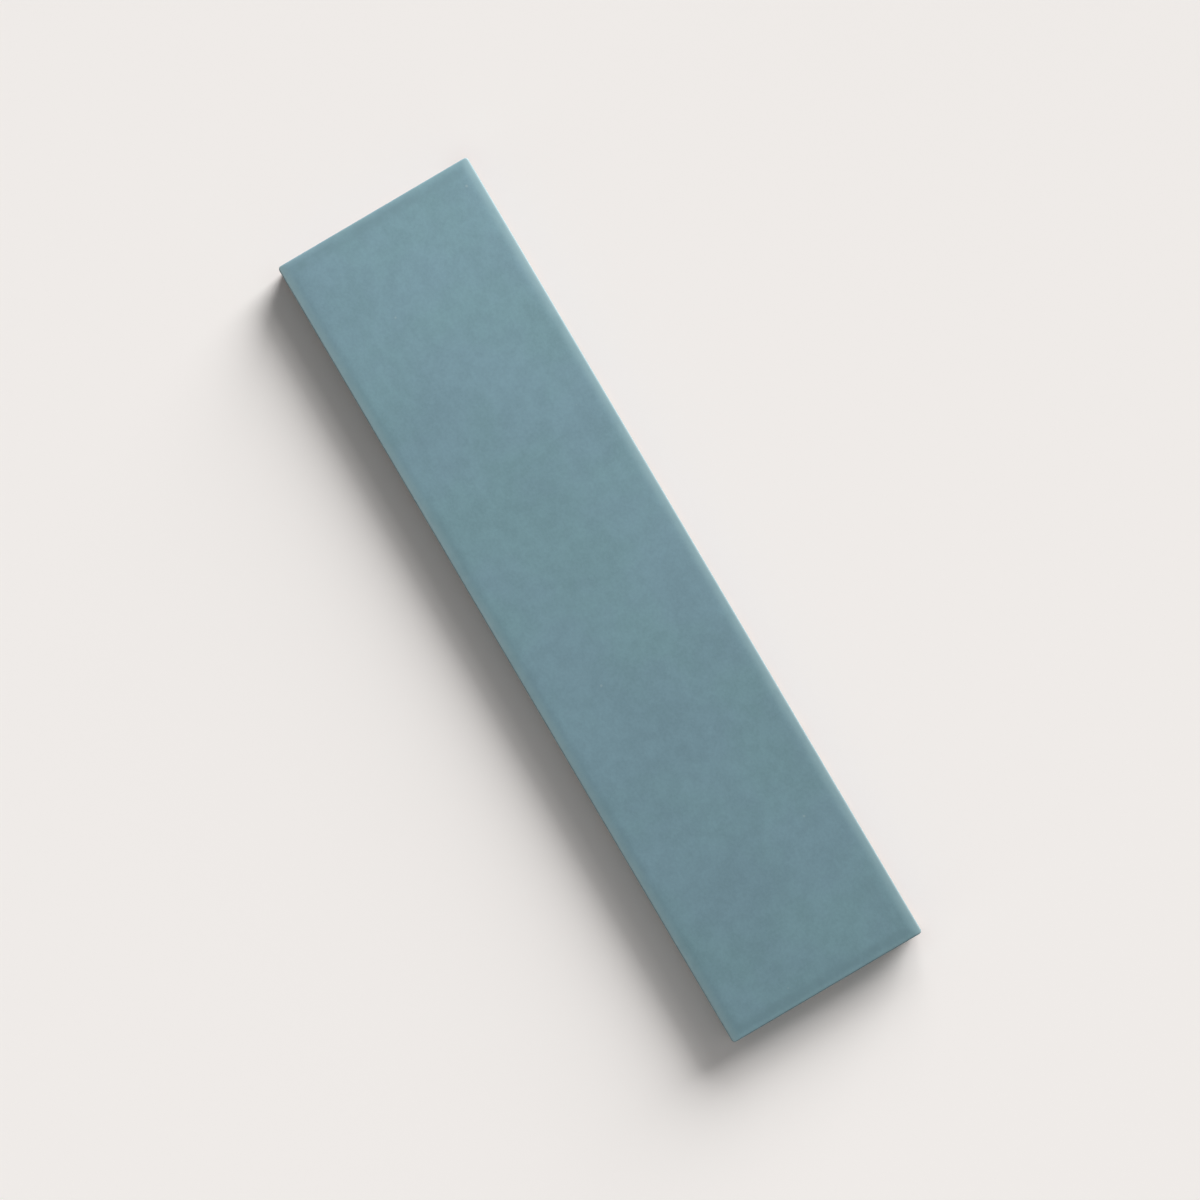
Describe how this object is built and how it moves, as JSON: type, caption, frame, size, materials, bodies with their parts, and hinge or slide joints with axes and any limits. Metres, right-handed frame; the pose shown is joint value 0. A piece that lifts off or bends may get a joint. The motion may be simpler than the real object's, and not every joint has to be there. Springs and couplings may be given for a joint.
{
  "type": "ceramic tile",
  "caption": "Long narrow rectangular ceramic tile with a matt glazed face, softly rolled face edges, upright joint faces and a ribbed back that is bonded to a wall or floor.",
  "frame": {"origin": "middle of the back, on the plane of its ribs", "axes": "+X along the length, +Y across the width, +Z out of the glazed face"},
  "size_m": [0.246, 0.06, 0.009],
  "materials": {
    "glaze": "matt blue-green glaze on the face, its rolled edges and the upper sides, bare fired body on the foot and back"
  },
  "bodies": {
    "root": {"tile": "glaze"}
  },
  "joints": []
}
